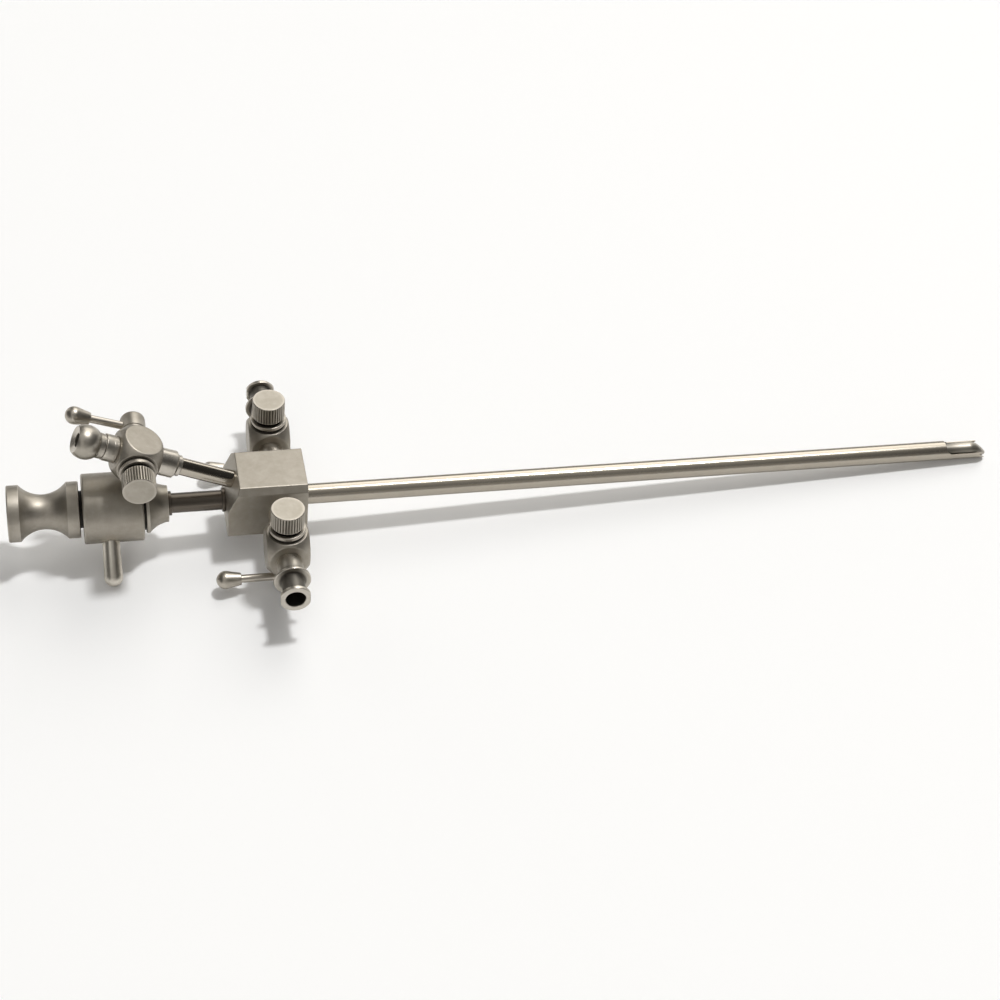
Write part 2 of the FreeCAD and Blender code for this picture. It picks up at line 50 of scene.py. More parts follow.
# %% [markdown]
# ## Node recipes
# A finish is easier to read as sums and products than as a list of nodes and wires. The class below wraps a
# socket, and each operator adds one Math node. Every other kind of node comes from one method that takes
# its settings and inputs.

# %% A small language for shader nodes
class Wire:
    """A node's output. Adding or multiplying wires adds Math nodes to the same tree."""

    def __init__(self, tree, socket):
        self.tree = tree
        self.socket = socket

    def maths(self, operation, first, second):
        return node(self.tree, "ShaderNodeMath", {"operation": operation}, {0: first, 1: second})

    def __add__(self, other):
        return self.maths("ADD", self, other)

    def __sub__(self, other):
        return self.maths("SUBTRACT", self, other)

    def __rsub__(self, other):
        return self.maths("SUBTRACT", other, self)

    def __mul__(self, other):
        return self.maths("MULTIPLY", self, other)

    __radd__ = __add__
    __rmul__ = __mul__

    def power(self, other):
        return self.maths("POWER", self, other)

    def top(self, other):
        return self.maths("MAXIMUM", self, other)

    def step(self, low, high):
        """0 below low, 1 above high, and a soft S between them."""
        return node(self.tree, "ShaderNodeMapRange", {"interpolation_type": "SMOOTHSTEP"},
                    {"Value": self, "From Min": low, "From Max": high})


def node(tree, kind, settings, inputs, output=0):
    """Adds any node, sets it up, feeds its inputs with numbers or wires, and returns one output."""
    made = tree.nodes.new(kind)
    for key, value in settings.items():
        setattr(made, key, value)
    for key, value in inputs.items():
        if isinstance(value, Wire):
            tree.links.new(value.socket, made.inputs[key])
        else:
            made.inputs[key].default_value = value
    return Wire(tree, made.outputs[output]) if len(made.outputs) else None


def blend(tree, factor, first, second):
    """Colour between two colours."""
    return node(tree, "ShaderNodeMix", {"data_type": "RGBA"}, {"Factor": factor, 6: first, 7: second},
                output=2)


def noise(tree, vector, scale, detail=2.0, roughness=0.5):
    return node(tree, "ShaderNodeTexNoise", {"noise_dimensions": "3D"},
                {"Vector": vector, "Scale": scale, "Detail": detail, "Roughness": roughness})


# %% [markdown]
# ## Steel finishes
# The instrument is stainless steel in a few finishes. The hub, rings and stopcocks were blasted with fine
# beads, which leaves a soft grain a tenth of a millimetre wide. Under it the lathe's feed marks still show
# as rings. The long tube and the levers were polished along their length. Handled steel is brighter and
# smoother on its proud edges. Inner corners, grooves and bores get painted shade: their colour is darkened
# and they are made a little rougher. The ring marks follow the surface, so they read a UV map whose first
# direction runs along the turned outline.

# %% Steel materials
def steel(name, colour, rough, grain, rings, ring_step, wear, blotch=1.0):
    """Stainless steel. grain and rings are bump heights in mm, ring_step the feed marks' distance in mm,
    and blotch says how uneven the finish is."""
    material = bpy.data.materials.new(name)
    material.use_nodes = True
    tree = material.node_tree
    tree.nodes.clear()
    place = node(tree, "ShaderNodeTexCoord", {}, {}, output="Object")
    uv = node(tree, "ShaderNodeUVMap", {"uv_map": "turning"}, {})
    edge = node(tree, "ShaderNodeAttribute", {"attribute_name": "edge"}, {}, output="Fac")
    stretched = node(tree, "ShaderNodeMapping", {}, {"Vector": uv, "Scale": (1 / ring_step, 1.5, 1.0)})
    feed = noise(tree, stretched, 1.0, 3.0, 0.7)
    blast = noise(tree, place, 1 / (0.12 * MM), 2.0)
    cloud = noise(tree, place, 1 / (7 * MM), 4.0, 0.6)
    stain = noise(tree, place, 1 / (2.2 * MM), 3.0, 0.6)
    marks = feed.step(0.35, 0.65)
    proud = edge.step(0.25, 0.9) * wear
    # Painted shade: the colour darkens in inner corners, and in grooves and bores where a painted-shade
    # function lowers the edge value.
    recess_shade = (0.0 - edge).step(0.1, 1.0)
    shade = cloud.step(0.3, 0.7) * 0.6 + stain.step(0.35, 0.7) * 0.4
    dark = [c * 0.86 for c in colour[:2]] + [colour[2] * 0.83, 1]
    light = [min(1, c * 1.10) for c in colour] + [1]
    bright = [min(1, c * 1.28 + 0.03) for c in colour] + [1]
    base = blend(tree, (shade - 0.5) * blotch + 0.5, dark, light)
    base = blend(tree, marks * 0.18 * blotch, base, dark)
    base = blend(tree, proud * 0.7, base, bright)
    # Painted shade in recesses: the colour goes most of the way to a fifth of itself.
    base = blend(tree, recess_shade * 0.8, base, [c * 0.22 for c in colour] + [1])
    uneven = (cloud - 0.5) * 0.10 + (blast - 0.5) * 0.10 + (marks - 0.5) * 0.05
    roughness = rough + uneven * blotch - proud * 0.08 + recess_shade * 0.12
    height = blast * (grain * MM) + feed * (rings * MM)
    bump = node(tree, "ShaderNodeBump", {}, {"Strength": 1.0, "Distance": 1.0, "Height": height})
    shader = node(tree, "ShaderNodeBsdfPrincipled", {},
                  {"Base Color": base, "Metallic": 1.0, "Roughness": roughness, "Normal": bump})
    node(tree, "ShaderNodeOutputMaterial", {}, {"Surface": shader})
    print("finish:", name)
    return material


STEEL = (0.375, 0.344, 0.30)
BLASTED = steel("blasted_steel", STEEL, 0.47, 0.006, 0.003, 0.09, 0.8)
TURNED = steel("turned_steel", (0.44, 0.408, 0.36), 0.38, 0.004, 0.006, 0.12, 1.0)
POLISHED = steel("polished_steel", (0.41, 0.372, 0.318), 0.20, 0.0003, 0.0004, 0.25, 0.5, 0.25)
LEVER = steel("lever_steel", (0.47, 0.433, 0.378), 0.38, 0.0015, 0.002, 0.15, 1.0, 0.6)
KNURL = steel("knurled_steel", (0.38, 0.35, 0.305), 0.38, 0.004, 0.002, 0.10, 1.0)
# Painted light: a much lighter copy of the steel colour for the lever pin, standing for the light it catches.
PAINTED_LIGHT_STEEL = steel("painted_light_satin_steel", (0.72, 0.675, 0.605), 0.42, 0.002, 0.003, 0.12, 0.6, 0.6)
# Painted shade: near-black steel for the short tube and its joint rings, standing for the channel pieces'
# dark that the tube mirrors and the shade in the joints.
NEAR_BLACK_SHADE_STEEL = steel("near_black_shade_steel", (0.11, 0.094, 0.077), 0.34, 0.001, 0.002, 0.2, 0.5, 0.5)
# Painted shade: almost black steel for pieces that sit inside or in narrow gaps, where only shade falls.
GAP_SHADE_STEEL = steel("gap_shade_steel", (0.045, 0.041, 0.037), 0.50, 0.003, 0.002, 0.10, 0.5)


def rubber(name):
    """Black sealing rubber: dull, with a fine bloom."""
    material = bpy.data.materials.new(name)
    material.use_nodes = True
    tree = material.node_tree
    tree.nodes.clear()
    place = node(tree, "ShaderNodeTexCoord", {}, {}, output="Object")
    bloom = noise(tree, place, 1 / (0.6 * MM), 4.0)
    base = blend(tree, bloom, [0.018, 0.018, 0.018, 1], [0.045, 0.044, 0.042, 1])
    shader = node(tree, "ShaderNodeBsdfPrincipled", {}, {"Base Color": base, "Roughness": 0.55 + bloom * 0.2})
    node(tree, "ShaderNodeOutputMaterial", {}, {"Surface": shader})
    return material


RUBBER = rubber("seal_rubber")

# %% [markdown]
# ## Outlines
# A lathe part is a list of (place along the axis, radius) points. Real edges are never perfectly sharp: a
# corner is broken by a few tenths of a millimetre, and that small round is what catches the light. So a
# corner may carry a third number, its fillet. Extra points close to both ends of a long straight run keep
# the shading flat there, because Blender blends the normals of neighbouring faces.

# %% Outlines with rounded corners
SUPPORT = 0.05      # mm, from the end of a straight run to its extra point
ARC_STEPS = 5
SPREAD = 0.22       # mm, how far wear on outer corners and painted shade in inner ones reach from a corner
MOST_PROUD = 1.2    # radians, the sharpest turn that counts


def rounded(points, closed=False):
    """Each fillet of radius f touches its sides at f / tan(half the corner's angle) and follows the circle
    between them."""
    out = []
    count = len(points)
    for i, item in enumerate(points):
        here = np.array(item[:2], float)
        fillet = item[2] if len(item) > 2 else 0.0
        if fillet <= 0 or (not closed and i in (0, count - 1)):
            out.append(here)
            continue
        back = np.array(points[i - 1][:2], float) - here
        ahead = np.array(points[(i + 1) % count][:2], float) - here
        room = 0.48 * min(np.linalg.norm(back), np.linalg.norm(ahead))
        back /= np.linalg.norm(back)
        ahead /= np.linalg.norm(ahead)
        half = math.acos(np.clip(back @ ahead, -1, 1)) / 2
        tangent = min(fillet / math.tan(half), room)
        radius = tangent * math.tan(half)
        centre = here + (back + ahead) / np.linalg.norm(back + ahead) * radius / math.sin(half)
        start = here + back * tangent - centre
        end = here + ahead * tangent - centre
        sweep = math.pi - 2 * half
        for k in range(ARC_STEPS + 1):
            s = k / ARC_STEPS
            between = math.sin((1 - s) * sweep) * start + math.sin(s * sweep) * end
            out.append(centre + between / math.sin(sweep))
    if closed:
        out.append(out[0])
    return out


def supported(points):
    """Adds a point near both ends of every run that is long enough to need it."""
    out = [points[0]]
    for a, b in zip(points[:-1], points[1:]):
        length = np.linalg.norm(b - a)
        if length > 4 * SUPPORT:
            step = (b - a) / length * SUPPORT
            out += [a + step, b - step]
        out.append(b)
    return np.array(out)


def arc(start, mid, end, steps=16):
    """Points of the circle through three points, without its two ends."""
    a, b, c = (np.array(p, float) for p in (start, mid, end))
    d = 2 * (a[0] * (b[1] - c[1]) + b[0] * (c[1] - a[1]) + c[0] * (a[1] - b[1]))
    sq = [p @ p for p in (a, b, c)]
    ux = (sq[0] * (b[1] - c[1]) + sq[1] * (c[1] - a[1]) + sq[2] * (a[1] - b[1])) / d
    uy = (sq[0] * (c[0] - b[0]) + sq[1] * (a[0] - c[0]) + sq[2] * (b[0] - a[0])) / d
    centre = np.array([ux, uy])
    first, middle, last = (math.atan2(*(p - centre)[::-1]) for p in (a, b, c))
    turn = (last - first) % (2 * math.pi)
    if (middle - first) % (2 * math.pi) > turn:
        turn -= 2 * math.pi
    radius = np.linalg.norm(a - centre)
    angles = first + turn * np.arange(1, steps) / steps
    return [(centre[0] + radius * math.cos(t), centre[1] + radius * math.sin(t)) for t in angles]


def edge_of(outline):
    """How proud each outline point is: the turning angle there, positive on outer corners and negative in
    inner ones. The outline runs so that the steel lies on its right, and the turn is spread over SPREAD."""
    ahead = np.diff(outline, axis=0)
    angle = np.unwrap(np.arctan2(ahead[:, 1], ahead[:, 0]))
    turn = np.zeros(len(outline))
    turn[1:-1] = -np.diff(angle)
    where = np.concatenate([[0], np.cumsum(np.linalg.norm(ahead, axis=1))])
    near = np.exp(-((where[:, None] - where[None, :]) / SPREAD) ** 2)
    return np.clip(near @ turn, -MOST_PROUD, MOST_PROUD)


# %% [markdown]
# ## Seats
# A piece needs a place as well as a shape. A seat holds an origin and three directions: the first runs
# along the turned piece and the other two across it. With seats, one stopcock is described once and set
# down three times.

# %% Seats and meshes
class Seat:
    """Where a piece sits: origin in mm and the three unit directions of its own frame."""

    def __init__(self, origin, x, y, z):
        self.origin = np.array(origin, float)
        self.axes = np.array([x, y, z], float)

    def place(self, points):
        """Own coordinates in mm to the part's coordinates in metres."""
        return (self.origin + np.asarray(points, float) @ self.axes) * MM

    def spun(self, degrees):
        """The same seat, turned about its own z."""
        c, s = math.cos(math.radians(degrees)), math.sin(math.radians(degrees))
        x, y, z = self.axes
        return Seat(self.origin, c * x + s * y, c * y - s * x, z)

    def upright(self):
        """A seat for a piece that is turned about this seat's z."""
        x, y, z = self.axes
        return Seat(self.origin, z, x, y)

    def lever(self, height):
        """A seat that points along -x at a height on z."""
        x, y, z = self.axes
        return Seat(self.origin + height * z, -x, -y, z)


MAIN = Seat((0, 0, 0), (1, 0, 0), (0, 1, 0), (0, 0, 1))
made = []


def grid_piece(name, grid, edge, length, seat, material, wrap=True):
    """Object from a grid of points (rows x columns x 3, in mm).
    The UV map "turning" holds the length along the outline in mm and the angle in 24ths of a turn, and "edge"
    says how proud a point is."""
    rows, columns = grid.shape[:2]
    i = np.arange(rows - 1)[:, None]
    j = np.arange(columns if wrap else columns - 1)[None, :]
    k = (j + 1) % columns
    quads = np.stack([i * columns + j, i * columns + k, (i + 1) * columns + k, (i + 1) * columns + j], -1)
    mesh = bpy.data.meshes.new(name)
    mesh.from_pydata(seat.place(grid.reshape(-1, 3)).tolist(), [], quads.reshape(-1, 4).tolist())
    i, j = i + 0 * j, j + 0 * i
    u = np.stack([length[i], length[i], length[i + 1], length[i + 1]], -1)
    v = np.stack([j, j + 1, j + 1, j], -1) / columns
    layer = mesh.uv_layers.new(name="turning")
    layer.data.foreach_set("uv", np.stack([u, v * 24], -1).astype(np.float32).ravel())
    proud = mesh.attributes.new("edge", "FLOAT", "POINT")
    edge = edge[:, None] if edge.ndim == 1 else edge
    proud.data.foreach_set("value", np.broadcast_to(edge, (rows, columns)).astype(np.float32).ravel())
    mesh.polygons.foreach_set("use_smooth", [True] * len(mesh.polygons))
    mesh.materials.append(material)
    work = bmesh.new()
    work.from_mesh(mesh)
    bmesh.ops.remove_doubles(work, verts=work.verts, dist=2e-7)
    bmesh.ops.recalc_face_normals(work, faces=work.faces)
    work.to_mesh(mesh)
    work.free()
    piece = bpy.data.objects.new(name, mesh)
    bpy.context.scene.collection.objects.link(piece)
    made.append(name)
    return piece


def belong(piece, body, slot, *nodes):
    """Ties a piece to its body and hides the CAD nodes that it stands for. The slot, a finish's name, is not
    used.
    """
    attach(piece, body)
    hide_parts(*nodes)
    return piece


def lathe(name, points, seat, material, columns=96, closed=False, shape=None, angles=None, painted_shade=None):
    """Surface (a, r cos t, r sin t) of an outline (a, r). shape(a, t, r) may change the radius, angles(a, r)
    the columns, and the last function, of (a, t, r), says where painted shade darkens the colour: it is taken
    off the edge value."""
    outline = supported(rounded(points, closed))
    length = np.concatenate([[0], np.cumsum(np.linalg.norm(np.diff(outline, axis=0), axis=1))])
    a = outline[:, :1]
    r = np.maximum(outline[:, 1:], 0)
    t = np.linspace(0, 2 * math.pi, columns, endpoint=False)[None, :] + 0 * a
    if angles is not None:
        t = angles(a, r)
    a, r = a + 0 * t, r + 0 * t
    if shape is not None:
        r = shape(a, t, r)
    edge = edge_of(outline)[:, None] - (painted_shade(a, t, r) if painted_shade is not None else 0 * a)
    grid = np.stack([a, r * np.cos(t), r * np.sin(t)], -1)
    return grid_piece(name, grid, edge, length, seat, material)


# %% [markdown]
# ## The spool handle
# The obturator is drawn out by a spool that fits between two fingers. It is a solid bar with a wide round
# groove: two flanges and one circular arc for the waist. A spun outline keeps that arc exact, and small
# fillets give the flanges their light rim.

# %% Handle, latch and rod of the obturator
HANDLE_END, HANDLE_START = -94.4, -71.9
FLANGE_R, FLANGE, WAIST_R = 9.1, 3.8, 5.6
SOCKET_R, SOCKET_END = 4.5, -76.9       # the hole in the handle that takes the latch
waist_start, waist_end = HANDLE_END + FLANGE, HANDLE_START - FLANGE
waist = arc((waist_start, FLANGE_R), ((HANDLE_END + HANDLE_START) / 2, WAIST_R), (waist_end, FLANGE_R), 40)
handle_outline = [(HANDLE_END + 0.12, 0), (HANDLE_END + 0.06, FLANGE_R - 1.6, 0.3),
                  (HANDLE_END, FLANGE_R - 1.2, 0.3), (HANDLE_END, FLANGE_R, 0.45),
                  (waist_start, FLANGE_R, 0.12)]
handle_outline += waist + [(waist_end, FLANGE_R, 0.12), (HANDLE_START, FLANGE_R, 0.45),
                           (HANDLE_START, SOCKET_R), (SOCKET_END, SOCKET_R), (SOCKET_END, 0)]
handle = lathe("spool_handle", handle_outline, MAIN, BLASTED, 128)
belong(handle, "obturator", "satin_steel", "obturator_handle")

PIN_X = -62.7
LATCH_R, LATCH_END = 6.0, -60.3
GROOVE_R, GROOVE_START, GROOVE_END = 5.3, PIN_X - 1.6, PIN_X + 1.6
BAR_R, BAR_END = 2.4, 211
latch_outline = [(SOCKET_END, BAR_R), (SOCKET_END, SOCKET_R), (HANDLE_START, SOCKET_R),
                 (HANDLE_START, LATCH_R, 0.15), (GROOVE_START, LATCH_R, 0.1), (GROOVE_START, GROOVE_R, 0.1),
                 (GROOVE_END, GROOVE_R, 0.1), (GROOVE_END, LATCH_R, 0.1), (LATCH_END, LATCH_R, 0.3),
                 (LATCH_END, BAR_R)]
# The latch shows only in the gap between the handle and the lock ring, so it gets painted shade: almost black
# steel.
latch = lathe("latch_sleeve", latch_outline, MAIN, GAP_SHADE_STEEL, 96, closed=True)
belong(latch, "obturator", "satin_steel", "obturator_latch")

bar_outline = [(SOCKET_END, 0), (SOCKET_END, BAR_R), (BAR_END, BAR_R), (BAR_END, 0)]
rod = lathe("obturator_bar", bar_outline, MAIN, POLISHED, 64)
belong(rod, "obturator", "polished_steel", "obturator_rod")

# %% [markdown]
# ## The obturator's nose
# In the cut-away of the tube the obturator shows as a slimmer bar that ends in a blunt rounded nose. A
# cross-section of it is an ellipse whose top comes down and whose sides close in towards the toe, so it is
# a loft: width, top and bottom are functions of the place along the axis.

# %% Nose of the obturator
TOE_X = 239.0
TIP_START, TIP_STEP = 205, 222.6
TIP_R, NECK_R = 2.9, 2.55
NOSE_LEN = 6.6
TOE_DOWN = 1.6      # mm, from the axis down to the point where the top meets the bottom


def nose_grid(columns=72):
    """Ellipses at the place s along the nose, from 0 to 1. With R for NECK_R and D for TOE_DOWN, the half
    width is R sqrt(1 - s**3), the top R - (R + D) s**1.8 and the bottom -R + (R - D) s**6."""
    nose_start = TOE_X - NOSE_LEN
    body = supported(rounded([(TIP_START, BAR_R), (TIP_START, TIP_R, 0.4), (TIP_STEP, TIP_R, 0.2),
                              (TIP_STEP + 0.1, NECK_R, 0.1), (nose_start, NECK_R)]))
    s = np.sin(np.linspace(0, 0.5 * math.pi, 26))[1:]
    x = np.concatenate([body[:, 0], nose_start + NOSE_LEN * s])
    wide = np.concatenate([body[:, 1], NECK_R * np.sqrt(1 - s ** 3.0)])
    top = np.concatenate([body[:, 1], NECK_R - (NECK_R + TOE_DOWN) * s ** 1.8])
    low = np.concatenate([-body[:, 1], -NECK_R + (NECK_R - TOE_DOWN) * s ** 6])
    t = np.linspace(0, 2 * math.pi, columns, endpoint=False)[None, :]
    mid, high = ((top + low) / 2)[:, None], ((top - low) / 2)[:, None]
    grid = np.stack([x[:, None] + 0 * t, wide[:, None] * np.cos(t), mid + high * np.sin(t)], -1)
    edge = np.concatenate([edge_of(body), 0 * s])
    centre = grid[:1] * [1, 0, 0]
    return np.concatenate([centre, grid]), np.concatenate([[0], edge]), np.concatenate([[TIP_START - 1], x])


grid, edge, length = nose_grid()
nose = grid_piece("obturator_nose", grid, edge, length, MAIN, TURNED)
belong(nose, "obturator", "polished_steel", "obturator_tip")

# %% [markdown]
# ## The long tube and its beak
# The sheath is a thin tube, cut away on top at the far end so that a rounded trough is left. A sheet of
# steel with a thickness says this best: one surface wraps round the bar, opens where the cut begins and
# ends in a rounded toe, and Solidify then gives it its wall. The sheet is a grid over the place along the
# tube and the share w of the half turn that steel covers.

# %% Tube with a cut-away beak
TUBE_R, TUBE_WALL = 3.35, 0.40
WINDOW_X, WINDOW_Z = 223.2, 0.75
HEEL = TUBE_R - WINDOW_Z


def toe_end(t):
    """Where the sheet ends at angle t from the underside: the nearer of a half circle seen from above and a
    round seen from the side."""
    y, z = TUBE_R * np.sin(t), -TUBE_R * np.cos(t)
    above = TOE_X - TUBE_R + np.sqrt(np.maximum(TUBE_R ** 2 - y ** 2, 0))
    lower, upper = np.clip((-1.65 - z) / 1.7, 0, 1), np.clip((z + 1.65) / 2.4, 0, 1)
    side = TOE_X - 1.9 * lower ** 2.2 - 3.0 * upper ** 1.7
    return np.minimum(above, side)


def tube_grid():
    """Rows run along the tube. The cut follows a quarter circle (the heel), a straight lip and the toe."""
    w = np.sin(np.linspace(-1, 1, 121) * math.pi / 2) * 0.35 + np.linspace(-1, 1, 121) * 0.65
    shaft = np.concatenate([[-2.0, -1.9], np.linspace(0, WINDOW_X - 3, 40)])
    lead = np.linspace(0, 1, 8)[1:]
    swing = 0.5 * math.pi * np.linspace(0, 1, 30)[1:] ** 1.7
    lip = np.linspace(0, 1, 10)[1:]
    toe = np.linspace(0, 1, 20)[1:]
    heel_x = WINDOW_X + HEEL * (1 - np.cos(swing))
    cut_t = math.acos(-WINDOW_Z / TUBE_R)
    lip_start, lip_end = WINDOW_X + HEEL, TOE_X - 5.0
    edge_x = np.concatenate([shaft, WINDOW_X - 3 + 3 * lead, heel_x, lip_start + (lip_end - lip_start) * lip])
    base_x = np.concatenate([shaft, WINDOW_X - 3 + 1.5 * lead,
                             WINDOW_X - 1.5 + (HEEL + 1.5) * np.linspace(0, 1, 30)[1:],
                             lip_start + (lip_end - lip_start) * lip])
    heel_z = TUBE_R - HEEL * np.sin(swing)
    cover = np.concatenate([np.full(len(shaft) + len(lead), math.pi), np.arccos(-heel_z / TUBE_R),
                            np.full(len(lip), cut_t)])
    bend = np.abs(w)[None, :] ** 5
    x = base_x[:, None] * (1 - bend) + edge_x[:, None] * bend
    t = cover[:, None] * w[None, :]
    t_toe = cut_t * w[None, :] + 0 * toe[:, None]
    x_toe = lip_end + toe[:, None] * (toe_end(t_toe) - lip_end)
    x, t = np.concatenate([x, x_toe]), np.concatenate([t, t_toe])
    return np.stack([x, TUBE_R * np.sin(t), -TUBE_R * np.cos(t)], -1)


grid = tube_grid()
underside = grid.shape[1] // 2
tube = grid_piece("sheath_shell", grid, np.zeros(len(grid)), grid[:, underside, 0].copy(), MAIN, POLISHED,
                  wrap=False)
wall = tube.modifiers.new("wall", "SOLIDIFY")
wall.thickness = TUBE_WALL * MM
wall.offset = -1
wall.use_even_offset = True
lip_round = tube.modifiers.new("lip", "BEVEL")
lip_round.width = 0.08 * MM
lip_round.segments = 2
lip_round.limit_method = "ANGLE"
lip_round.angle_limit = math.radians(50)
belong(tube, "sheath", "polished_steel", "sheath_tube")
print("tube skin:", len(tube.data.polygons), "faces")

# %% [markdown]
# ## The hub block
# The hub is a milled block: flat faces, chamfers along its four long edges and a slanted rear face for the
# working channel. Such a shape is all the points inside a handful of planes. Every corner is where three
# planes meet, so the corners are found by solving for each triple and keeping the points that lie inside
# the others. Bevel then breaks the sharp edges.

# %% Milled block
BLOCK_TOP, BLOCK_BOTTOM, BLOCK_HALF, BLOCK_CHAMFER = 12.5, -8.5, 10.5, 2.0
BLOCK_TOP_END, BLOCK_END, SLANT_Z = -21.8, -25.6, 3.9


def block_corners():
    """Corners of the set n . p <= d, where each row of planes is (n, d)."""
    chamfer = math.sqrt(0.5)
    slant = np.array([SLANT_Z - BLOCK_TOP, 0, BLOCK_TOP_END - BLOCK_END])
    slant = slant / np.linalg.norm(slant)
    planes = [(1, 0, 0, 0), (-1, 0, 0, -BLOCK_END), (0, 1, 0, BLOCK_HALF), (0, -1, 0, BLOCK_HALF),
              (0, 0, 1, BLOCK_TOP), (0, 0, -1, -BLOCK_BOTTOM), (*slant, slant @ [BLOCK_END, 0, SLANT_Z])]
    for side in (1, -1):
        planes.append((0, side * chamfer, chamfer, (BLOCK_HALF + BLOCK_TOP - BLOCK_CHAMFER) * chamfer))
        planes.append((0, side * chamfer, -chamfer, (BLOCK_HALF - BLOCK_BOTTOM - BLOCK_CHAMFER) * chamfer))
    planes = np.array(planes, float)
    corners = []
    for i in range(len(planes)):
        for j in range(i):
            for k in range(j):
                three = planes[[i, j, k]]
                if abs(np.linalg.det(three[:, :3])) > 1e-6:
                    point = np.linalg.solve(three[:, :3], three[:, 3])
                    if np.all(planes[:, :3] @ point <= planes[:, 3] + 1e-6):
                        corners.append(point)
    return np.unique(np.round(corners, 6), axis=0)


mesh = bpy.data.meshes.new("milled_block")
work = bmesh.new()
for corner in block_corners() * MM:
    work.verts.new(corner)
bmesh.ops.convex_hull(work, input=work.verts)
bmesh.ops.dissolve_limit(work, angle_limit=math.radians(1), verts=work.verts, edges=work.edges)
bmesh.ops.recalc_face_normals(work, faces=work.faces)
work.to_mesh(mesh)
work.free()
mesh.polygons.foreach_set("use_smooth", [True] * len(mesh.polygons))
mesh.materials.append(BLASTED)
block = bpy.data.objects.new("milled_block", mesh)
bpy.context.scene.collection.objects.link(block)
broken_edge = block.modifiers.new("broken edge", "BEVEL")
broken_edge.width = 0.28 * MM
broken_edge.segments = 3
broken_edge.harden_normals = True
belong(block, "sheath", "satin_steel", "hub_block")
print("block corners:", len(mesh.vertices))

# %% [markdown]
# ## Neck, rings and the short tube
# Between the block and the lock sits a short tube with a thin ring at either end, where it is soldered
# in. Tube and rings get painted shade: their near-black steel stands for the dark of the channel pieces
# that the tube mirrors and for the shade in the joints. The neck behind it flares in a hollow curve to a
# thin rim. All of them share the main axis.

# %% Short tube, joint rings and neck
SHORT_R, RING_R, RING_WIDTH = 3.25, 3.95, 1.1
short_outline = [(-53.5, 2.95), (-53.5, SHORT_R), (-19.6, SHORT_R), (-19.6, 2.95)]
# Painted shade: the short tube and the joint rings below are near-black steel.
short_tube = lathe("short_tube", short_outline, MAIN, NEAR_BLACK_SHADE_STEEL, 96, closed=True)
belong(short_tube, "sheath", "polished_steel", "proximal_tube")
RIM_R, NECK_END, NECK_END_R = 9.05, -43.9, 5.9
joint_rings = (("neck_ring", NECK_END, "neck_joint_ring"), ("block_ring", -26.7, "block_joint_ring"))
for name, start, node_name in joint_rings:
    end = start + RING_WIDTH
    ring_outline = [(start, SHORT_R), (start, RING_R, 0.22), (end, RING_R, 0.22), (end, SHORT_R)]
    belong(lathe(name, ring_outline, MAIN, NEAR_BLACK_SHADE_STEEL, 96, closed=True), "sheath", "satin_steel", node_name)
flare = arc((-50.1, RIM_R), (-47.6, 7.0), (NECK_END, NECK_END_R), 24)
neck_outline = [(-51.2, 6.05), (-51.2, RIM_R, 0.2), (-50.1, RIM_R, 0.15)] + flare
neck_outline += [(NECK_END, NECK_END_R, 0.2), (NECK_END, SHORT_R), (-47.5, SHORT_R), (-47.5, 6.05)]
neck = lathe("flared_neck", neck_outline, MAIN, BLASTED, 128, closed=True)
belong(neck, "sheath", "satin_steel", "lock_neck")

# %% [markdown]
# ## Lock ring and lever pin
# The wide ring turns a little to lock the telescope or obturator. Its lever pin stands in a shallow round
# seat, which shows as a dark crescent at the pin's foot. The seat isn't round about the ring's axis, so the
# ring's radius is lowered near the pin: the radius is the smaller of the ring's own and that of a flat
# floor, inside a circle round the pin. Rows and columns are crowded there to draw the seat's rim cleanly.

# %% Lock ring with a seat for its pin
LOCK_R, LOCK_START, LOCK_END = 11.3, -71.0, -52.0
PIN_ANGLE = math.radians(41)
PIN_TURN = math.atan2(-math.sin(PIN_ANGLE), -math.cos(PIN_ANGLE)) % (2 * math.pi)
SEAT_R, SEAT_FLOOR = 3.1, 10.2


def crowded_angles(a, r):
    """Columns: 110 of the 200 steps share the 46 degrees round the pin."""
    reach = 0.4
    near = PIN_TURN + np.linspace(-reach, reach, 110, endpoint=False)
    far = PIN_TURN + reach + np.linspace(0, 2 * math.pi - 2 * reach, 90, endpoint=False)
    return np.concatenate([near, far])[None, :] + 0 * a


def pin_seat(a, t, r):
    """Nearer than SEAT_R to the pin's line the surface drops to the seat's flat floor, with a soft lip."""
    away = t - PIN_TURN
    across = r * np.sin(away)
    distance = np.sqrt((a - PIN_X) ** 2 + across ** 2)
    floor = SEAT_FLOOR / np.maximum(np.cos(away), 0.5)
    inside = np.clip((SEAT_R - distance) / 0.16 + 0.5, 0, 1)
    inside = inside * inside * (3 - 2 * inside)
    outer = (r > 11.0) & (np.cos(away) > 0.6)
    return np.where(outer, r + (np.minimum(floor, r) - r) * inside, r)


rows = np.concatenate([np.linspace(1.3, 4.7, 8), np.linspace(4.8, 11.8, 80), np.linspace(12.2, 17.7, 10)])
ring_outline = [(LOCK_START, 9.5), (LOCK_START, LOCK_R, 1.0)] + [(LOCK_START + x, LOCK_R) for x in rows]
ring_outline += [(LOCK_END, LOCK_R, 1.0), (LOCK_END, 9.5), (-53.15, 9.5), (-53.15, 8.05), (-69.85, 8.05),
                 (-69.85, 9.5)]
lock_ring = lathe("lock_ring_skin", ring_outline, MAIN, BLASTED, 200, closed=True, shape=pin_seat,
                  angles=crowded_angles)
belong(lock_ring, "lock_ring", "satin_steel", "lock_ring")

